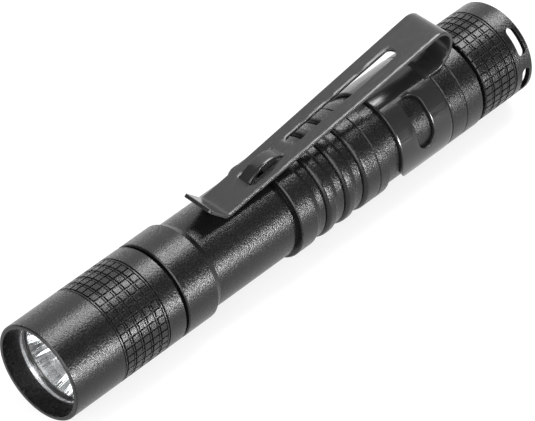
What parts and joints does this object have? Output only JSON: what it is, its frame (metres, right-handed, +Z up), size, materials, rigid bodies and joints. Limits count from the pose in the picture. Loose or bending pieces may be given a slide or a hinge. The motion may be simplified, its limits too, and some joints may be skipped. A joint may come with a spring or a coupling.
{
  "type": "penlight",
  "caption": "Slim round penlight with knurled screw-on head and tail cap, grip ribs, tail push button, lanyard slots and a folded steel pocket clip.",
  "frame": {"origin": "under the middle of the light's length, where the body rests on a surface", "axes": "+X along the light towards the beam, +Z up through the clip's arm, +Y across"},
  "size_m": [0.086, 0.014, 0.02],
  "materials": {
    "black_aluminium": "black hard anodised, bead blasted after turning",
    "clip_steel": "satin black coat on spring steel",
    "button_rubber": "matte moulded",
    "seal_rubber": "matte moulded",
    "spacer_plastic": "natural moulded",
    "switch_plastic": "moulded",
    "plunger_plastic": "moulded",
    "circuit_board": "green solder mask",
    "board_parts": "moulded packages",
    "turned_brass": "turned",
    "spring_steel": "nickel plated wire",
    "gilt_spring": "gilt wire",
    "cell_can": "plain metallic sleeve",
    "cell_terminal": "nickel plated",
    "cell_seal": "moulded",
    "led_board_white": "white solder mask on aluminium",
    "led_ceramic": "ceramic package",
    "led_phosphor": "clear dome over phosphor",
    "reflector_chrome": "smooth metallised bowl",
    "lens_glass": "clear, polished",
    "lens_ring_metal": "bright turned ring"
  },
  "bodies": {
    "barrel": {"body_tube": "black_aluminium", "tail_o_ring": "seal_rubber", "head_o_ring": "seal_rubber", "battery_can": "cell_can", "battery_cap": "cell_terminal", "battery_seal": "cell_seal"},
    "tail_contact": {"tail_spring": "spring_steel"},
    "tail": {"tail_cap": "black_aluminium", "spacer_ring": "spacer_plastic", "switch_board": "circuit_board", "switch_ring": "turned_brass", "switch_body": "switch_plastic"},
    "button": {"push_button": "button_rubber", "switch_plunger": "plunger_plastic"},
    "head_contact": {"contact_spring": "gilt_spring"},
    "head": {"head_shell": "black_aluminium", "lens_ring": "lens_ring_metal", "lens": "lens_glass", "lens_gasket": "seal_rubber", "reflector": "reflector_chrome", "insulator_ring": "spacer_plastic", "led_package": "led_ceramic", "led_dome": "led_phosphor", "led_board": "led_board_white", "led_pill": "turned_brass", "driver_board": "circuit_board", "driver_parts": "board_parts"},
    "clip": {"pocket_clip": "clip_steel"}
  },
  "joints": [
    {"name": "tail_slide", "type": "slide", "parent": "barrel", "child": "tail_contact", "axis": [-1, 0, 0], "range_m": [0, 0.00225]},
    {"name": "tail_turn", "type": "hinge", "parent": "tail_contact", "child": "tail", "pos_m": [-0.03805, 0, 0.007], "axis": [-1, 0, 0], "range_deg": [0, 1080]},
    {"name": "button_press", "type": "slide", "parent": "tail", "child": "button", "axis": [1, 0, 0], "range_m": [0, 0.0008], "stiffness_N_per_m": 1500, "springref_m": -0.001},
    {"name": "head_slide", "type": "slide", "parent": "barrel", "child": "head_contact", "axis": [1, 0, 0], "range_m": [0, 0.00225]},
    {"name": "head_turn", "type": "hinge", "parent": "head_contact", "child": "head", "pos_m": [0.03195, 0, 0.007], "axis": [1, 0, 0], "range_deg": [0, 1080]},
    {"name": "clip_swivel", "type": "hinge", "parent": "barrel", "child": "clip", "pos_m": [-0.02205, 0, 0.007], "axis": [1, 0, 0], "continuous": true}
  ],
  "couplings": [
    {"joint": "tail_turn", "follows": "tail_slide", "rad_per_m": 8377.6},
    {"joint": "head_turn", "follows": "head_slide", "rad_per_m": 8377.6}
  ]
}
